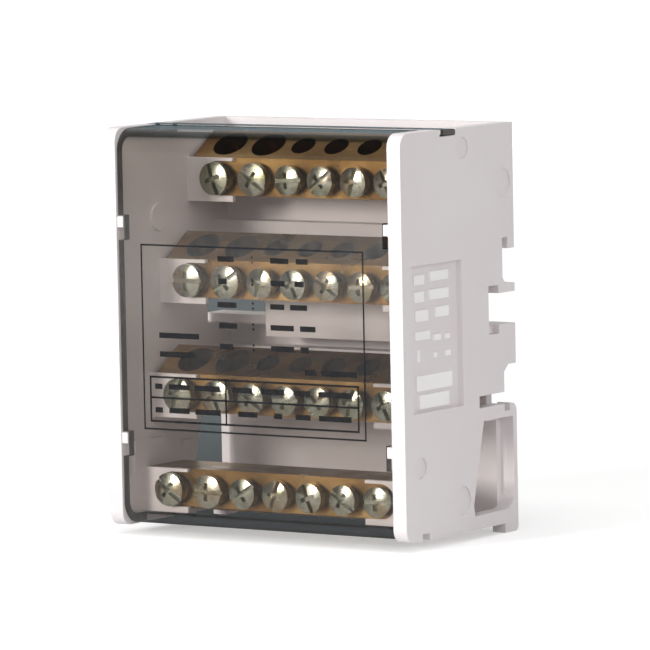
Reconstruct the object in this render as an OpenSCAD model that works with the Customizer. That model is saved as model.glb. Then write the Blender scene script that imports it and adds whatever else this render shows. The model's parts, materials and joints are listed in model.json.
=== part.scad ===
// Power distribution block: four stepped terminal bars carried between two moulded side
// plates, a rear frame that seats on a 35 mm rail, and a clear hinged cover.
// Lengths are in millimetres. Y runs from the front face backwards, Z upwards.

/* [Housing] */
// Width over the two side plates
body_w = 72; // [70:1:90]
// Height of a side plate without its foot
plate_h = 81; // [80:0.5:95]
// Depth from the front edge to the rear edge of a side plate
depth = 41.4; // [39:0.1:48]
// Thickness of a side plate
plate_t = 3.1; // [2.8:0.1:4]
// Drop of the rear foot below the plate
foot_drop = 1.9; // [1:0.1:3]
// Length of the rear foot
foot_len = 4.9; // [3:0.1:6]
// Radius of the front corners of a side plate
corner_r = 2.8; // [1:0.1:3.5]
// Wall of the rear frame
frame_wall = 2; // [1.6:0.1:2.4]
// Width of the bridge behind the bolt slot
bridge_w = 34; // [26:1:44]

/* [Rail seat] */
// Width of the rail that the seat takes
rail_w = 35; // [34:0.5:36]
// Play of the rail in its seat
rail_play = 0.1; // [0:0.05:0.4]
// Height of the lower flange of the rail above the plate's bottom
rail_z = 22.8; // [22.4:0.1:23.2]
// Depth of the seat in front of the rear edge
seat_in = 4.5; // [4:0.1:5]
// Gap that takes a flange of the rail
flange_gap = 2; // [1.4:0.1:2.2]
// Reach of the upper leg over the flange
leg_over = 2.3; // [1.5:0.1:3]
// Reach of the snap hook over the flange
hook_over = 1.5; // [1:0.1:1.8]
// Height of the slit above the snap lever
slit_h = 2.4; // [1.6:0.1:2.6]
// Depth of the slit above the snap lever
slit_len = 13.9; // [10:0.1:15]
// Thickness of the snap lever
lever_t = 2.7; // [2:0.1:3.2]
// Thickness of the rim behind the window
rim_t = 1.4; // [1:0.1:2]

/* [Bolt slot] */
// Width of the neck of the bolt slot
neck_w = 6.4; // [5.2:0.1:6.6]
// Width across the head space of the bolt slot
head_w = 9.8; // [8.6:0.1:10.2]
// Depth of the head space
head_d = 3.8; // [3:0.1:4]
// Depth of the bolt slot from the rear edge
slot_d = 9.9; // [9.6:0.1:10.4]
// Height of the middle of the bolt slot
slot_z = 43.6; // [43.4:0.1:43.8]

/* [Terminal bars] */
// Height of each bar's screws above the plate's bottom, from the top bar down
row_z = [69.3, 49.2, 26.1, 7.2]; // [7:0.1:70]
// Gap between the cover and the screw heads of the bottom bar
screw_gap = 2.65; // [2.2:0.05:3.2]
// How far the second bar stands behind the bottom one; the top bar stands by the rear wall
second_back = 7.7; // [6:0.1:9]
// How far the third bar stands behind the bottom one
third_back = 3.7; // [2:0.1:5]
// Height of a bar's front face above the screws
face_up = 4.2; // [3.8:0.1:4.6]
// Height of a bar's front face below the screws
face_down = 3.6; // [3.4:0.1:3.8]
// Angle of the sloping face that the wires enter
slope = 33; // [28:1:36]
// Length of the sloping face
slope_len = 9.3; // [9:0.1:10]
// Depth of a slanted wire hole
wire_depth = 8.3; // [7.5:0.1:8.6]
// Brass left past the end of a wire hole
end_wall = 1.3; // [1:0.1:1.6]
// Depth of the straight bottom bar
flat_bar_d = 12; // [11:0.1:12.5]
// Angle at which the straight bar's underside falls towards the rear
under_slope = 10; // [6:1:11]
// Gap between a bar's end and the side plate
bar_end_gap = 0.9; // [0.3:0.1:1.4]
// Gap between the top bar and the rear wall
bar_back_gap = 0.2; // [0.1:0.05:0.4]

/* [Terminals] */
// Number of large terminals at the left of each bar
large_count = 2; // [2:1:2]
// Number of terminals on each bar
terminal_count = 7; // [6:1:7]
// Distance from the side plate to the outer screws
screw_margin = 7.65; // [7.4:0.05:8]
// Distance between the two large screws
large_pitch = 9.5; // [9:0.1:10]
// Distance from the last large screw to the first small one
mixed_pitch = 8.6; // [8.2:0.1:9]
// Diameter of a large wire hole
large_wire = 7.5; // [7:0.1:7.6]
// Diameter of a small wire hole
small_wire = 5.3; // [4.8:0.1:6]
// Diameter of a large screw's thread
large_thread = 6; // [5:0.5:6]
// Diameter of a small screw's thread
small_thread = 5; // [4:0.5:5]
// Diameter of a large screw's head
large_head = 6.8; // [6.6:0.1:7.2]
// Diameter of a small screw's head
small_head = 6.1; // [5.6:0.1:6.6]
// Thickness of a screw head at its edge
head_t = 1.5; // [1.2:0.1:1.8]
// Rise of the domed front of a screw head
dome = 0.5; // [0.2:0.1:0.7]
// Gap between a screw head and its bar
head_lift = 1.2; // [1.1:0.1:1.6]
// Radial play of a screw in its bore
thread_play = 0.05; // [0.02:0.01:0.08]
// Gap between a screw's point and the wire hole
tip_gap = 0.15; // [0.1:0.05:0.3]
// Width of the slot across a screw head
drive_w = 0.9; // [0.6:0.1:1.2]
// Depth of the slot and the cross in a screw head
drive_d = 1; // [0.6:0.1:1.3]

/* [Bar seats] */
// Reach of a seat's front lip from the side plate
lip_reach = 11.3; // [10.5:0.1:11.8]
// Thickness of a seat's front lip
lip_t = 1; // [0.8:0.05:1.05]
// Drop of a seat below the screws
seat_drop = 4.8; // [4.6:0.05:4.85]
// Reach of a seat's shelf under the bar
shelf_reach = 3.2; // [2:0.1:3.6]
// Play between a large screw head and the mouth in the lip
mouth_play = 0.15; // [0.1:0.05:0.3]
// Thickness of the stop behind the bottom bar
stop_t = 1.4; // [1:0.1:2]

/* [Cover] */
// Thickness of the cover
cover_t = 1.8; // [1.4:0.1:2]
// Gap between the cover and what is round it
cover_gap = 0.25; // [0.2:0.05:0.35]
// Setback of the cover behind the front edge of the side plates
cover_in = 0.4; // [0.2:0.1:0.6]
// Outer radius of the cover's bends
bend_r = 4.5; // [3:0.1:5]
// Depth of the cover's top wall
top_wall = 21.6; // [20.8:0.1:22.5]
// Depth of the cover's bottom wall
bottom_wall = 8; // [6:0.1:8.2]
// Depth of the rear end of the ears
ear_end = 20.2; // [18:0.1:20.4]
// Length of the ears
ear_len = 5.4; // [4:0.1:6]
// Thickness of the ears
ear_t = 1.3; // [1:0.1:1.4]
// Height of the two latch lugs above the plate's bottom
lug_z = [18, 62]; // [12:1:66]
// Height of a latch lug
lug_h = 2.2; // [1.6:0.1:3]
// Reach of a latch lug
lug_out = 1.4; // [1:0.1:1.8]
// Room below a lug in the cover's notch, for the swing of the cover
notch_run = 2.6; // [2.2:0.1:4]

/* [Side plate details] */
// Depth of the front edge of the sunk marking field
field_y = 3.4; // [3:0.1:6]
// Length of the marking field
field_len = 18.2; // [14:0.1:19]
// Height of the marking field's lower edge
field_z = 25.4; // [24:0.1:30]
// Height of the marking field
field_h = 29.3; // [24:0.1:31]
// Sink of the marking field
field_sink = 1.2; // [0.6:0.1:1.4]

/* [Hidden] */
$fn = 64;
eps = 0.01;

inner_w = body_w - 2 * plate_t;
inner_x = inner_w / 2;
bar_len = inner_w - 2 * bar_end_gap;

// Rail seat, from the rear edge forwards and from the lower flange upwards.
floor_y = depth - seat_in;
flange_y = floor_y + flange_gap;
rail_top = rail_z + rail_w + rail_play;
leg_z = rail_top - leg_over;
slit_top = rail_z + hook_over + slit_h;
lever_top = rail_z + hook_over;
slit_y = depth - slit_len;
slot_y = depth - slot_d;
block_z = 32.2;
tooth_t = 1.8;
chamfer = 1.4;

// Terminal positions along a bar: the large pair at the left, then an even pitch.
last_pitch = (inner_w - 2 * screw_margin - large_pitch - mixed_pitch)
    / (terminal_count - large_count - 1);
function screw_x(n) = -inner_x + screw_margin
    + (n > 1 ? large_pitch : 0)
    + (n > 2 ? mixed_pitch : 0)
    + (n > 3 ? (n - 3) * last_pitch : 0);
function is_large(n) = n <= large_count;
function wire_r(n) = (is_large(n) ? large_wire : small_wire) / 2;
function thread_r(n) = (is_large(n) ? large_thread : small_thread) / 2;
function head_r(n) = (is_large(n) ? large_head : small_head) / 2;

// Section of a sloping bar, from the lower front corner round to the lower rear one.
// The wire holes run square to the sloping face.
into = [sin(slope), -cos(slope)];
slope_top = [slope_len * cos(slope), face_up + slope_len * sin(slope)];
slope_mid = [slope_top[0] / 2, (face_up + slope_top[1]) / 2];
bar_rear = slope_top + (wire_depth + end_wall) * into;
bar_heel = [bar_rear[0] - (bar_rear[1] + face_down) / tan(slope), -face_down];
sloped_section = [[0, -face_down], [0, face_up], slope_top, bar_rear, bar_heel];

// Section of the straight bar: its wire holes run up from the falling underside, square to it.
under_drop = flat_bar_d * tan(under_slope);
under_mid = [flat_bar_d / 2, -face_down - under_drop / 2];
under_depth = (face_up - end_wall - large_wire / 2 * sin(under_slope) - under_mid[1]) / cos(under_slope);
flat_section = [[0, -face_down], [0, face_up], [flat_bar_d, face_up], [flat_bar_d, -face_down - under_drop]];
function is_flat(row) = row == 4;
function bar_section(row) = is_flat(row) ? flat_section : sloped_section;
front_bar_y = cover_in + cover_t + screw_gap + head_t + dome + head_lift;
function bar_y(row) = row == 1
    ? depth - frame_wall - bar_back_gap - bar_rear[0]
    : front_bar_y + (row == 2 ? second_back : row == 3 ? third_back : 0);

// How far a screw may reach into its bar without entering the wire hole.
function free_depth(row, n) = is_flat(row)
    ? under_mid[0] - (under_mid[1] + thread_r(n)) * tan(under_slope) - wire_r(n) / cos(under_slope)
    : slope_mid[0] + (slope_mid[1] - thread_r(n)) * tan(slope) - wire_r(n) / cos(slope);

// The cover turns on the round rear ends of its ears.
ear_r = ear_t / 2;
notch_d = ear_t + 0.2;
hinge_y = ear_end - ear_r;
hinge_z = plate_h - notch_d + ear_r + 0.15;

plate_colour = [0.86, 0.85, 0.84];
brass_colour = [0.72, 0.53, 0.25];
screw_colour = [0.78, 0.75, 0.62];
cover_colour = [0.55, 0.53, 0.5, 0.4];

// Places a solid in the model's frame: middle of the depth, feet at zero.
module in_frame() translate([0, -depth / 2, foot_drop]) children();

// Extrudes a profile drawn in Y and Z along X, from x0 for the given width.
module along_x(x0, width)
    translate([x0, 0, 0]) rotate([90, 0, 90]) linear_extrude(width) children();

// A rectangle between two corners.
module rect(low, high) translate(low) square([high[0] - low[0], high[1] - low[1]]);

// What a rounding takes off a corner; quarter is 0 to 3, counted from the lower left.
module corner_cut(at, r, quarter) translate(at) rotate(90 * quarter) difference() {
    translate([-eps, -eps]) square(r + eps);
    translate([r, r]) circle(r);
}

// ---- Side plates ----

// Seat of the rail: a hook above, the floor, and the undercut of the snap hook below.
module rail_notch() {
    out = depth + 1;
    polygon([
        [out, leg_z], [flange_y, leg_z], [flange_y, rail_top], [floor_y, rail_top],
        [floor_y, slot_z + head_w / 2 + chamfer], [floor_y + 0.9, slot_z + head_w / 2 + 0.2],
        [out, slot_z + head_w / 2]]);
    polygon([
        [out, block_z], [depth - 2.9, block_z], [floor_y, block_z - chamfer],
        [floor_y, slit_top], [slit_y, slit_top], [slit_y, lever_top],
        [floor_y, lever_top], [floor_y, rail_z], [floor_y + flange_gap, rail_z],
        [floor_y + flange_gap, lever_top], [out, lever_top]]);
}

// Slot for the head and the shank of a bolt.
module bolt_slot() {
    rect([slot_y, slot_z - neck_w / 2], [depth + 1, slot_z + neck_w / 2]);
    rect([slot_y, slot_z - head_w / 2], [slot_y + head_d, slot_z + head_w / 2]);
}

// Opening under the snap lever; its thin rear rim lets the hook give way.
module lever_window() {
    top = lever_top - lever_t;
    rear = depth - rim_t;
    round_r = 3.4;
    difference() {
        polygon([
            [depth - 12.4, top], [rear, top], [rear, 2.9], [depth - 16.2, 2.7],
            [depth - 16.6, 5]]);
        corner_cut([rear, 2.9], round_r, 1);
    }
}

module plate_outline() difference() {
    union() {
        rect([0, 0], [depth, plate_h]);
        rect([depth - foot_len, -foot_drop], [depth, 1]);
    }
    rail_notch();
    bolt_slot();
    lever_window();
    corner_cut([0, 0], corner_r, 0);
    corner_cut([0, plate_h], corner_r, 3);
    corner_cut([depth, lever_top], 1.8, 2);
    corner_cut([depth, -foot_drop], 1.2, 1);
    rect([ear_end - ear_len - 0.4, plate_h - notch_d], [ear_end + 0.2, plate_h + 1]);
    rect([5.8, -1], [8.4, 1.4]);
}

// Holder for one end of a bar, drawn from the plate's inner face towards +X:
// a front lip with a mouth round the first screw, a shelf and the rise behind it.
module bar_seat(row) {
    section = bar_section(row);
    mouth_r = large_head / 2 + mouth_play;
    translate([0, bar_y(row), row_z[row - 1]]) {
        difference() {
            translate([0, -lip_t, -seat_drop]) cube([lip_reach, lip_t, seat_drop + face_up]);
            translate([screw_margin, eps, 0]) rotate([90, 0, 0]) cylinder(r = mouth_r, h = lip_t + 2 * eps);
            translate([screw_margin, -lip_t - eps, -mouth_r]) cube([lip_reach, lip_t + 2 * eps, 2 * mouth_r]);
        }
        along_x(0, shelf_reach)
            if (is_flat(row)) polygon([
                [-lip_t, -seat_drop], [-lip_t, -face_down], section[0], section[3], [flat_bar_d, 1],
                [flat_bar_d + stop_t, 1], [flat_bar_d + stop_t, -seat_drop - under_drop]]);
            else polygon([
                [-lip_t, -seat_drop], [-lip_t, -face_down], bar_heel, bar_rear,
                [bar_rear[0], -seat_drop]]);
    }
}

// Small shapes on the inner face, drawn from that face towards +X.
module inner_details() {
    pad_r = 2.5;
    along_x(0, bar_end_gap - 0.1) difference() {
        rect([3.7, 10.3], [16, 16.9]);
        corner_cut([16, 10.3], pad_r, 1);
        corner_cut([16, 16.9], pad_r, 2);
    }
    translate([0, 20.8, 14]) cube([1, 3.4, 1.4]);
    translate([0, 14.6, 62]) rotate([0, 90, 0]) cylinder(r = 2.8, h = 0.5);
    for (z = lug_z) translate([0, 0.3, z - lug_h / 2]) cube([lug_out, cover_t, lug_h]);
}

// Pins on the ends of the rear frame, and the blind holes that they seat in.
pin_r = 1.6;
pin_len = 2;
pins = [[depth - 2.6, plate_h - 5], [floor_y - 3.4, 30]];
module frame_pins(r, len)
    for (pin = pins) translate([0, pin[0], pin[1]]) rotate([0, 90, 0]) cylinder(r = r, h = len);

// A left side plate with its outer face at X = 0.
module left_plate_form() {
    mark_d = 0.45;
    difference() {
        along_x(0, plate_t) plate_outline();
        along_x(-eps, field_sink + eps)
            rect([field_y, field_z], [field_y + field_len, field_z + field_h]);
        for (mark = [[22.6, plate_h - 4.1, 4.5], [depth - 4.1, plate_h - 12, 6], [5.6, 14.6, 4.3], [20.8, 6.4, 6]])
            translate([-eps, mark[0], mark[1]]) rotate([0, 90, 0])
                cylinder(d = mark[2], h = mark_d + eps);
        translate([plate_t - pin_len - 0.1, 0, 0]) frame_pins(pin_r, pin_len + 1);
    }
    translate([plate_t - eps, 0, 0]) {
        inner_details();
        for (row = [1:4]) bar_seat(row);
    }
}

module side_plate_left() color(plate_colour) in_frame()
    translate([-body_w / 2, 0, 0]) left_plate_form();

module side_plate_right() color(plate_colour) in_frame()
    mirror([1, 0, 0]) translate([-body_w / 2, 0, 0]) left_plate_form();

// ---- Rear frame ----

// Wall that follows the rail seat, drawn in Y and Z over the full width.
module frame_section() {
    front = floor_y - frame_wall;
    low_wall = depth - 3;
    rect([depth - frame_wall, leg_z], [depth, plate_h]);
    rect([flange_y, leg_z], [depth, rail_top + frame_wall]);
    rect([front, rail_top], [depth, rail_top + frame_wall]);
    rect([front, slot_z + neck_w / 2], [floor_y, rail_top + frame_wall]);
    rect([front, slot_z + neck_w / 2], [depth, slot_z + neck_w / 2 + tooth_t]);
    difference() {
        rect([front, block_z], [depth, slot_z - neck_w / 2]);
        rect([front - 1, block_z + tooth_t], [depth - tooth_t, slot_z - neck_w / 2 - tooth_t]);
    }
    rect([front, rail_z - frame_wall], [floor_y, block_z + tooth_t]);
    rect([front, rail_z - frame_wall], [low_wall + frame_wall, rail_z]);
    rect([low_wall, 0], [low_wall + frame_wall, rail_z]);
}

// Bridge round the head space of the bolt slot.
module bridge_section() difference() {
    rect([slot_y - frame_wall, slot_z - head_w / 2 - frame_wall],
         [floor_y, slot_z + head_w / 2 + frame_wall]);
    bolt_slot();
}

module rear_frame() color(plate_colour) in_frame() {
    difference() {
        union() {
            along_x(-inner_x, inner_w) frame_section();
            along_x(-bridge_w / 2, bridge_w) bridge_section();
            for (side = [0, 1]) mirror([side, 0, 0]) translate([-inner_x, 0, 0]) {
                frame_pins(pin_r + 0.6, 6);
                translate([-pin_len, 0, 0]) frame_pins(pin_r, pin_len + 1);
            }
        }
        along_x(-bridge_w / 2 - 1, bridge_w + 2) bolt_slot();
    }
}

// ---- Terminal bars ----

// Wire holes, and the bores that the screws turn in.
module terminal_holes(row, n) {
    r = wire_r(n);
    if (is_flat(row))
        translate([0, under_mid[0], under_mid[1]]) rotate([-under_slope, 0, 0])
            translate([0, 0, -1]) cylinder(r = r, h = under_depth + 1);
    else
        translate([0, slope_mid[0], slope_mid[1]]) rotate([180 + slope, 0, 0])
            translate([0, 0, -1]) cylinder(r = r, h = wire_depth + 1);
    // The bore ends at the wire hole, short of the sloping underside.
    reach = is_flat(row)
        ? under_mid[0] - under_mid[1] * tan(under_slope)
        : slope_mid[0] + wire_depth * sin(slope) - r * cos(slope);
    translate([0, -1, 0]) rotate([-90, 0, 0])
        cylinder(r = thread_r(n) + thread_play, h = reach + 1);
}

module busbar(row) color(brass_colour) in_frame()
    translate([0, bar_y(row), row_z[row - 1]]) difference() {
        along_x(-bar_len / 2, bar_len) polygon(bar_section(row));
        for (n = [1:terminal_count]) translate([screw_x(n), 0, 0]) terminal_holes(row, n);
    }

// ---- Screws ----

// A screw with its head's underside at zero and its domed head towards +Z.
module screw_form(row, n) {
    r = head_r(n);
    dome_r = (r * r + dome * dome) / (2 * dome);
    difference() {
        union() {
            cylinder(r = r, h = head_t);
            intersection() {
                cylinder(r = r, h = head_t + dome);
                translate([0, 0, head_t + dome - dome_r]) sphere(dome_r);
            }
        }
        translate([-r - 1, -drive_w / 2, head_t + dome - drive_d]) cube([2 * r + 2, drive_w, drive_d + 1]);
        translate([-drive_w / 2, -r * 0.55, head_t + dome - drive_d]) cube([drive_w, r * 1.1, drive_d + 1]);
    }
    shank = head_lift + free_depth(row, n) - tip_gap;
    translate([0, 0, -shank]) cylinder(r = thread_r(n), h = shank + eps);
}

// Each screw is turned a little differently, as a hand leaves them.
module terminal_screw(row, n) color(screw_colour) in_frame()
    translate([screw_x(n), bar_y(row) - head_lift, row_z[row - 1]])
        rotate([90, 0, 0]) rotate((37 * n + 71 * row) % 180) screw_form(row, n);

// ---- Cover ----

// Bent sheet: front panel with a top and a bottom wall.
module cover_section() {
    top = plate_h - 0.2;
    bottom = 0.3;
    front = cover_in;
    inner_r = bend_r - cover_t;
    difference() {
        rect([front, bottom], [top_wall, top]);
        corner_cut([front, bottom], bend_r, 0);
        corner_cut([front, top], bend_r, 3);
        difference() {
            rect([front + cover_t, bottom + cover_t], [top_wall + 1, top - cover_t]);
            corner_cut([front + cover_t, bottom + cover_t], inner_r, 0);
            corner_cut([front + cover_t, top - cover_t], inner_r, 3);
        }
        rect([bottom_wall, bottom - 1], [top_wall + 1, top / 2]);
    }
}

// Ear with a round rear end, which the cover turns on.
module ear_section() {
    translate([hinge_y, hinge_z]) circle(ear_r);
    rect([ear_end - ear_len, hinge_z - ear_r], [hinge_y, hinge_z + ear_r]);
}

module cover() color(cover_colour) in_frame() {
    half = inner_x - cover_gap;
    difference() {
        union() {
            along_x(-half, 2 * half) cover_section();
            along_x(-body_w / 2, body_w) ear_section();
        }
        for (side = [0, 1], z = lug_z) mirror([side, 0, 0])
            translate([inner_x - lug_out - cover_gap, -1, z - lug_h / 2 - notch_run])
                cube([lug_out + 1, cover_t + 3, notch_run + lug_h + cover_gap]);
    }
}

side_plate_left();
side_plate_right();
rear_frame();
cover();
for (row = [1:4])
    busbar(row);
for (row = [1:4], n = [1:terminal_count])
    terminal_screw(row, n);
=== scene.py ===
import json
import math

import bmesh
import bpy
from mathutils import Matrix, Vector


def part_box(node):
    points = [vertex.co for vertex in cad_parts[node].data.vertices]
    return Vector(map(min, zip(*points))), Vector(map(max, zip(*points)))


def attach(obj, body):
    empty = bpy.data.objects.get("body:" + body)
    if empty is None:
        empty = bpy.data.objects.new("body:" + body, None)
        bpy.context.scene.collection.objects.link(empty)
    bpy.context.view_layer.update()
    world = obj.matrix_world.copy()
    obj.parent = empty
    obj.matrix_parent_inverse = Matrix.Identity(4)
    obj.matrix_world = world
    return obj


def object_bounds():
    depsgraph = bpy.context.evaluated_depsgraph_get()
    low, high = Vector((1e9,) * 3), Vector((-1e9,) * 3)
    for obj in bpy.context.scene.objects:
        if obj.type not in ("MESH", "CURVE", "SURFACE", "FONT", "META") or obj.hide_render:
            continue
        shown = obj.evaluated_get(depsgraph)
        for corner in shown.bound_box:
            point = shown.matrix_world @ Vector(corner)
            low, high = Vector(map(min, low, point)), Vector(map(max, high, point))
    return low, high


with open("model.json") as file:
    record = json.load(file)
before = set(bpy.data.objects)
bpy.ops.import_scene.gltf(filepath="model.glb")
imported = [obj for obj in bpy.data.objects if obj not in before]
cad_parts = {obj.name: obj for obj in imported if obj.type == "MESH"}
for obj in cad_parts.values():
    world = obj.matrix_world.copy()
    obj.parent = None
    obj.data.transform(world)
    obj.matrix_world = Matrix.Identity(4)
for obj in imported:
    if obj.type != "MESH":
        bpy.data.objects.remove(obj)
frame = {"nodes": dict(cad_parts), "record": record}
rest_lo, rest_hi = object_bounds()
nodes = frame["nodes"]
scene = bpy.context.scene
MM = 0.001


# ---- Node helpers ----

class Shader:
    """The node tree of a new material or world, with short calls to add and join nodes."""

    def __init__(self, owner, output="OutputMaterial"):
        owner.use_nodes = True
        self.owner = owner
        self.tree = owner.node_tree
        self.tree.nodes.clear()
        self.out = self.tree.nodes.new("ShaderNode" + output)

    def node(self, kind, inputs=None, **props):
        n = self.tree.nodes.new("ShaderNode" + kind)
        for k, v in props.items():
            setattr(n, k, v)
        for k, v in (inputs or {}).items():
            self.put(n.inputs[k], v)
        return n

    def put(self, socket, value):
        if isinstance(value, bpy.types.NodeSocket):
            self.tree.links.new(value, socket)
        elif isinstance(value, bpy.types.Node):
            self.tree.links.new(value.outputs[0], socket)
        else:
            socket.default_value = value

    def coords(self, scale=(1, 1, 1)):
        return self.node("Mapping", {0: self.node("TexCoord").outputs["Object"], "Scale": scale})

    def noise(self, scale, detail=2.0, stretch=(1, 1, 1), rough=0.5):
        n = self.node("TexNoise", {
            "Vector": self.coords(stretch), "Scale": scale, "Detail": detail, "Roughness": rough})
        return n.outputs["Fac"]

    def math(self, op, a, b=0.5, clamp=False):
        return self.node("Math", {0: a, 1: b}, operation=op, use_clamp=clamp).outputs[0]

    def spread(self, value, low, high):
        """Stretches a noise's middle range to low..high."""
        return self.node("MapRange", {0: value, 1: 0.3, 2: 0.7, 3: low, 4: high}).outputs[0]

    def ramp(self, value, *stops):
        r = self.node("ValToRGB", {0: value})
        e = r.color_ramp.elements
        while len(e) < len(stops):
            e.new(0.5)
        for i, (at, colour) in enumerate(stops):
            e[i].position = at
            e[i].color = (*colour, 1)
        return r.outputs[0]

    def bump(self, height, strength, distance):
        return self.node("Bump", {"Height": height, "Strength": strength, "Distance": distance}).outputs[0]

    def principled(self, **inputs):
        p = self.node("BsdfPrincipled", {k.replace("_", " "): v for k, v in inputs.items()})
        self.put(self.out.inputs[0], p)
        return p


# ---- Materials ----

def new_material(name):
    return Shader(bpy.data.materials.new(name))


def housing_plastic():
    s = new_material("housing_plastic")
    tone = s.ramp(s.noise(38, 3), (0.3, (0.735, 0.69, 0.70)), (0.7, (0.765, 0.725, 0.732)))
    grain = s.bump(s.noise(5200, 2), 0.16, 0.0001)
    s.principled(
        Base_Color=tone, Roughness=s.spread(s.noise(160, 2), 0.38, 0.5), Normal=grain,
        IOR=1.5, Specular_IOR_Level=0.5)
    return s.owner


def brass():
    s = new_material("brass")
    cloud = s.noise(95, 4, (0.5, 1, 1), 0.6)
    tone = s.ramp(
        cloud, (0.28, (0.15, 0.075, 0.022)), (0.5, (0.28, 0.165, 0.06)), (0.72, (0.50, 0.33, 0.13)))
    lines = s.noise(420, 2, (0.04, 1, 1))
    s.principled(
        Base_Color=tone, Metallic=1.0, Roughness=s.spread(s.noise(140, 3), 0.24, 0.42),
        Normal=s.bump(lines, 0.22, 0.0001))
    return s.owner


def zinc():
    s = new_material("yellow_zinc")
    own = s.math("SUBTRACT", s.node("ObjectInfo").outputs["Random"], 0.5)
    cloud = s.math("ADD", s.noise(150, 3, rough=0.65), s.math("MULTIPLY", own, 0.16))
    tone = s.ramp(
        cloud, (0.28, (0.26, 0.24, 0.13)), (0.42, (0.33, 0.34, 0.26)), (0.54, (0.44, 0.45, 0.38)),
        (0.64, (0.38, 0.31, 0.21)), (0.76, (0.27, 0.31, 0.20)))
    s.principled(
        Base_Color=tone, Metallic=1.0, Roughness=s.spread(s.noise(260, 3), 0.16, 0.3),
        Normal=s.bump(s.noise(900, 2), 0.2, 0.0001))
    return s.owner


def smoked_sheet():
    s = new_material("smoked_sheet")
    slant = s.node("LayerWeight", {"Blend": 0.5}).outputs["Facing"]
    steep = s.math("POWER", slant, 3.0)

    def mix(share, colour, other):
        return s.node("MixRGB", {"Fac": share, "Color1": colour, "Color2": (*other, 1)})

    # Seen flat on it is a pale brown, along its surface a dark teal, and its right cut edge is dark.
    cloud = s.ramp(s.noise(45, 2), (0.3, (0.895, 0.875, 0.855)), (0.7, (0.925, 0.905, 0.885)))
    side = s.node("SeparateXYZ", {0: s.node("TexCoord").outputs["Normal"]}).outputs["X"]
    edge = s.math("MULTIPLY", s.math("GREATER_THAN", side, 0.9), 0.85)
    tint = mix(edge, mix(steep, cloud, (0.05, 0.09, 0.10)), (0.05, 0.06, 0.06))
    clear = s.node("BsdfTransparent", {"Color": tint})
    mirror = mix(steep, (0.95, 0.95, 0.95, 1), (0.04, 0.11, 0.14))
    gloss = s.node("BsdfGlossy", {
        "Color": mirror, "Roughness": 0.05, "Normal": s.bump(s.noise(55, 1), 0.06, 0.001)})
    front = s.math("SUBTRACT", 1.0, s.node("NewGeometry").outputs["Backfacing"])
    share = s.math("MULTIPLY", s.node("Fresnel", {"IOR": 1.5}).outputs[0], front, True)
    s.put(s.out.inputs[0], s.node("MixShader", {0: share, 1: clear, 2: gloss}))
    return s.owner


def painted_highlight_marks():
    s = new_material("painted_highlight_marks")
    # Paler than the housing plastic the letters are moulded in: a painted highlight where they catch the
    # light.
    tone = s.ramp(s.noise(60, 2), (0.3, (0.90, 0.885, 0.88)), (0.7, (0.93, 0.92, 0.915)))
    s.principled(Base_Color=tone, Roughness=s.spread(s.noise(160, 2), 0.38, 0.5))
    return s.owner


def ink():
    s = new_material("label_ink")
    tone = s.ramp(s.noise(900, 2), (0.3, (0.008, 0.008, 0.009)), (0.7, (0.018, 0.018, 0.02)))
    s.principled(Base_Color=tone, Roughness=0.6, Specular_IOR_Level=0.12)
    return s.owner


HOUSING, BRASS, ZINC, COVER = housing_plastic(), brass(), zinc(), smoked_sheet()
INK, HIGHLIT_MARKS = ink(), painted_highlight_marks()
BY_SLOT = {"housing": HOUSING, "brass": BRASS, "zinc": ZINC, "cover": COVER}
SLOT_OF = {sub["node"]: sub["material_slot"] for sub in frame["record"]["subparts"]}
for name, obj in nodes.items():
    obj.data.materials.clear()
    obj.data.materials.append(BY_SLOT[SLOT_OF[name]])


# ---- Added meshes ----

def piece(name, boxes, material, body):
    """One mesh of several boxes, each (lowest corner, highest corner), that rides on a body."""
    bm = bmesh.new()
    for lo, hi in boxes:
        lo, hi = Vector(lo), Vector(hi)
        place = Matrix.Translation((lo + hi) / 2) @ Matrix.Diagonal((*(hi - lo), 1))
        bmesh.ops.create_cube(bm, size=1, matrix=place)
    mesh = bpy.data.meshes.new(name)
    bm.to_mesh(mesh)
    bm.free()
    mesh.materials.append(material)
    obj = bpy.data.objects.new(name, mesh)
    scene.collection.objects.link(obj)
    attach(obj, body)
    return obj


# Plain marks printed on the front of the cover. Each is x0, z0, x1, z1 in mm.
cover_lo, cover_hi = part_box("cover")
PRINT_LIFT, PRINT_T = 0.02 * MM, 0.02 * MM


def printed(name, marks):
    y = cover_lo.y - PRINT_LIFT
    boxes = [((x0 * MM, y - PRINT_T, z0 * MM), (x1 * MM, y, z1 * MM)) for x0, z0, x1, z1 in marks]
    return piece(name, boxes, INK, "cover")


def outline(x0, z0, x1, z1, t):
    """The four sides of a frame, t thick."""
    return [
        (x0, z0, x1, z0 + t), (x0, z1 - t, x1, z1),
        (x0, z0 + t, x0 + t, z1 - t), (x1 - t, z0 + t, x1, z1 - t)]


FRAME_T, TABLE_T, RULE_HALF = 0.36, 0.42, 0.2
TABLE_LO, TABLE_HI, TABLE_MID, TABLE_SPLIT = (-25.7, 23.5), (25.1, 32.9), 28.5, -7.0
printed("label_frame", outline(-27.3, 21.9, 26.7, 59.6, FRAME_T))
printed("label_table", outline(*TABLE_LO, *TABLE_HI, TABLE_T) + [
    (TABLE_LO[0], TABLE_MID - RULE_HALF, TABLE_HI[0], TABLE_MID + RULE_HALF),
    (TABLE_SPLIT - RULE_HALF, TABLE_LO[1], TABLE_SPLIT + RULE_HALF, TABLE_HI[1])])

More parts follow.
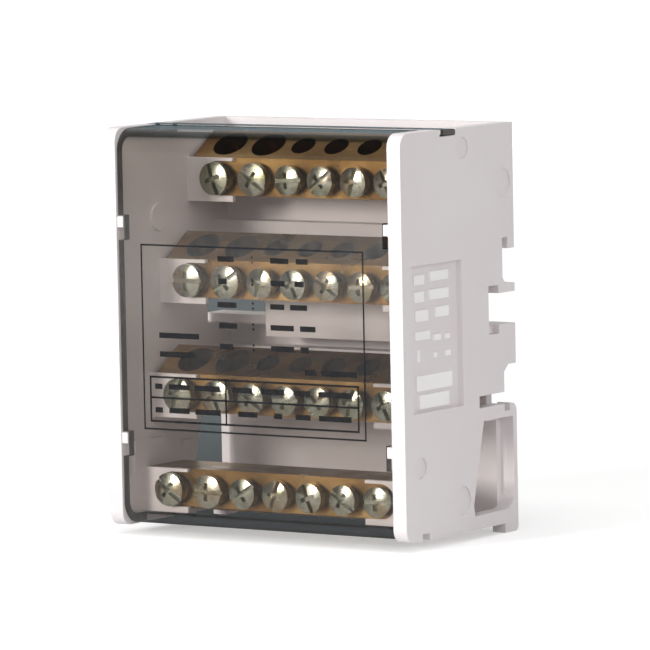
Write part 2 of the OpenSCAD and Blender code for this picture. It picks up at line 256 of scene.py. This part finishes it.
# Bars that stand for the lines of print, and pairs of dots between two columns of them.
# A bar is its left end, right end and middle height, a dot its x and the middle of its pair, in mm.
BAR_HALF, DOT_HALF, DOT_APART = 0.55, 0.22, 0.5
LINES = [
    (-8.4, -4.4, 57.1), (4.4, 8.8, 57.1), (10.6, 13.4, 57.1),
    (-8.3, -6.2, 52.6), (4.4, 7.8, 52.6), (10.2, 12.4, 52.6),
    (-8.6, -4.0, 47.9), (4.2, 7.6, 47.9), (9.0, 13.1, 47.9),
    (-8.3, -3.9, 43.7), (4.2, 9.8, 43.7), (11.3, 15.0, 43.7),
    (-8.2, -5.0, 39.5), (4.2, 9.8, 39.5), (11.3, 13.3, 39.5),
    (-23.1, -13.3, 41.2), (-23.0, -14.5, 37.4),
    (12.3, 15.0, 35.0), (16.2, 24.6, 35.0),
    (-24.4, -22.6, 30.8), (-21.0, -16.0, 30.8), (-14.6, -8.4, 30.8),
    (-5.2, -0.6, 30.8), (1.6, 7.2, 30.8), (9.6, 13.4, 30.8), (15.4, 23.2, 30.8),
    (-24.4, -22.6, 26.0), (-21.0, -16.0, 26.0), (-14.6, -8.4, 26.0),
    (-4.1, 0.6, 26.0), (4.6, 6.6, 26.0), (9.8, 13.4, 26.0), (15.4, 23.2, 26.0)]
DOTS = [(0.0, z) for z in (57.1, 52.6, 47.9, 43.7, 39.5)]
bars = [(x0, z - BAR_HALF, x1, z + BAR_HALF) for x0, x1, z in LINES]
for x, middle in DOTS:
    for z in (middle - DOT_APART, middle + DOT_APART):
        bars.append((x - DOT_HALF, z - DOT_HALF, x + DOT_HALF, z + DOT_HALF))
printed("label_lines", bars)

# Bars that stand for the text in the sunk field outside each side plate: y0, y1, z0, z1 in mm.
# They are sunk a little into the field's floor and stand MARK_H proud of it. Their paler colour is a
# painted highlight on letters moulded in the housing plastic.
FIELD = [
    (-15.1, -11.4, 52.7, 54.6), (-9.2, -2.6, 53.1, 55.0),
    (-15.1, -11.6, 49.2, 51.3), (-9.6, -2.6, 49.4, 51.4),
    (-14.8, -10.2, 45.4, 47.6), (-7.4, -2.6, 45.8, 47.8),
    (-15.0, -9.6, 41.7, 43.4), (-8.0, -5.6, 41.2, 42.4), (-4.0, -2.4, 41.2, 42.2),
    (-14.4, -13.5, 37.4, 39.8), (-8.2, -7.2, 37.8, 38.8), (-3.8, -2.2, 37.8, 38.9),
    (-14.7, -1.8, 31.6, 34.6), (-13.8, -3.0, 28.0, 30.8)]
FIELD_DEPTH, MARK_H, MARK_SUNK = 1.2 * MM, 0.35 * MM, 0.05 * MM
for tag, sign in (("left", -1), ("right", 1)):
    lo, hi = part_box("side_plate_" + tag)
    field_x = (hi.x if sign > 0 else -lo.x) - FIELD_DEPTH
    marks = []
    for y0, y1, z0, z1 in FIELD:
        xs = sorted((sign * (field_x - MARK_SUNK), sign * (field_x + MARK_H)))
        marks.append(((xs[0], y0 * MM, z0 * MM), (xs[1], y1 * MM, z1 * MM)))
    piece("field_marks_" + tag, marks, HIGHLIT_MARKS, "block")


# ---- Floor, world and lights ----

def straight_ray(s, path):
    """1 for a camera ray that has come through no smoked sheet."""
    open_air = s.math("LESS_THAN", path.outputs["Transparent Depth"], 0.5)
    return s.math("MULTIPLY", path.outputs["Is Camera Ray"], open_air)


def smoked_ray(s, path):
    """1 for a camera ray that has come through the smoked sheet."""
    return s.math("SUBTRACT", path.outputs["Is Camera Ray"], straight_ray(s, path), True)


# What shows behind the smoked sheet where the housing is open.
BEHIND = (0.135, 0.165, 0.185, 1)
WHITE = (1, 1, 1, 1)
FLOOR_HALF, FLOOR_GAP = 12.0, 0.02 * MM


def floor_white():
    """A pale floor that keeps the shadow. It is lifted towards white with distance from the object. Seen
    through the smoked sheet it is a flat glow with painted shade, darker near the object.
    """
    s = new_material("floor_white")
    path = s.node("LightPath")
    centre_out = s.node("VectorMath", {0: s.node("TexCoord").outputs["Object"]}, operation="LENGTH")
    away = centre_out.outputs["Value"]
    lift_by = s.node("MapRange", {0: away, 1: 0.15, 2: 1.2, 3: 0.36, 4: 0.75}).outputs[0]
    lift = s.node("Emission", {
        "Color": WHITE, "Strength": s.math("MULTIPLY", straight_ray(s, path), lift_by)})
    tone = s.ramp(s.noise(3, 2), (0.3, (0.80, 0.80, 0.80)), (0.7, (0.82, 0.82, 0.82)))
    pale = s.node("BsdfDiffuse", {"Color": tone})
    # Seen through the smoked sheet, the floor is a flat glow in the colour behind the sheet, dimmed near
    # the object as painted shade where its shadow falls.
    painted_shade_near = s.node("MapRange", {0: away, 1: 0.05, 2: 0.2, 3: 0.25, 4: 0.8}).outputs[0]
    dim = s.node("Emission", {"Color": BEHIND, "Strength": painted_shade_near})
    lit = s.node("AddShader", {0: pale, 1: lift})
    s.put(s.out.inputs[0], s.node("MixShader", {0: smoked_ray(s, path), 1: lit, 2: dim}))
    return s.owner


floor_mesh = bpy.data.meshes.new("floor")
corners = [(x * FLOOR_HALF, y * FLOOR_HALF, 0) for x, y in ((-1, -1), (1, -1), (1, 1), (-1, 1))]
floor_mesh.from_pydata(corners, [], [(0, 1, 2, 3)])
floor_mesh.materials.append(floor_white())
floor = bpy.data.objects.new("floor", floor_mesh)
scene.collection.objects.link(floor)
floor.location.z = rest_lo.z - FLOOR_GAP


def studio():
    """A plain sky for diffuse light, a dim room with a white end for mirrors, and a white backdrop."""
    s = Shader(bpy.data.worlds.new("studio"), "OutputWorld")
    path = s.node("LightPath")

    def glow(colour, strength=1.0):
        return s.node("Background", {"Color": colour, "Strength": strength})

    ahead = s.node("SeparateXYZ", {0: s.node("TexCoord").outputs["Generated"]}).outputs["Y"]
    white_end = s.node("MapRange", {0: ahead, 1: 0.0, 2: 0.5, 3: 0.0, 4: 0.8}).outputs[0]
    mirrored = s.math("ADD", path.outputs["Is Glossy Ray"], path.outputs["Is Transmission Ray"], True)
    white = glow(WHITE)
    shine = s.node("MixShader", {0: white_end, 1: glow((0.13, 0.13, 0.125, 1)), 2: white})
    light = s.node("MixShader", {0: mirrored, 1: glow((1.0, 0.99, 0.98, 1), 0.42), 2: shine})
    light = s.node("MixShader", {0: smoked_ray(s, path), 1: light, 2: glow(BEHIND)})
    s.put(s.out.inputs[0], s.node("MixShader", {0: straight_ray(s, path), 1: light, 2: white}))
    return s.owner


scene.world = studio()
CENTRE = Vector((0, 0, 0.0424))


def lamp(name, azimuth, elevation, distance, size, energy):
    """A square lamp that faces the object. The azimuth runs from the front towards the right."""
    data = bpy.data.lights.new(name, "AREA")
    data.shape = "RECTANGLE"
    data.size = data.size_y = size
    data.energy = energy
    obj = bpy.data.objects.new(name, data)
    a, e = math.radians(azimuth), math.radians(elevation)
    away = Vector((math.sin(a) * math.cos(e), -math.cos(a) * math.cos(e), math.sin(e)))
    obj.location = CENTRE + away * distance
    obj.rotation_mode = "QUATERNION"
    obj.rotation_quaternion = away.to_track_quat("Z", "Y")
    obj.visible_camera = False
    scene.collection.objects.link(obj)


lamp("key", -18, 12, 0.9, 0.2, 5.5)
lamp("fill", 62, 22, 1.1, 0.6, 2.9)
lamp("top", 10, 78, 0.9, 0.5, 3.0)


# ---- Camera ----

AZ, EL, ROLL = math.radians(34.0), math.radians(5.4), math.radians(-1.12)
DISTANCE, LENS, SENSOR = 1.217, 332.8, 36
AIM_RIGHT, AIM_UP = 2.98 * MM, -0.12 * MM
back = Vector((math.sin(AZ) * math.cos(EL), -math.cos(AZ) * math.cos(EL), math.sin(EL)))
level = (-back).cross(Vector((0, 0, 1))).normalized()
upright = level.cross(-back)
cam_right = level * math.cos(ROLL) + upright * math.sin(ROLL)
cam_up = upright * math.cos(ROLL) - level * math.sin(ROLL)
cam_data = bpy.data.cameras.new("camera")
cam_data.sensor_width = SENSOR
cam_data.lens = LENS
cam_data.clip_start, cam_data.clip_end = 0.05, 50
cam = bpy.data.objects.new("camera", cam_data)
scene.collection.objects.link(cam)
at = CENTRE + back * DISTANCE + cam_right * AIM_RIGHT + cam_up * AIM_UP
turn = Matrix((cam_right, cam_up, back)).transposed()
cam.matrix_world = Matrix.Translation(at) @ turn.to_4x4()
scene.camera = cam
scene.view_settings.view_transform = "Standard"
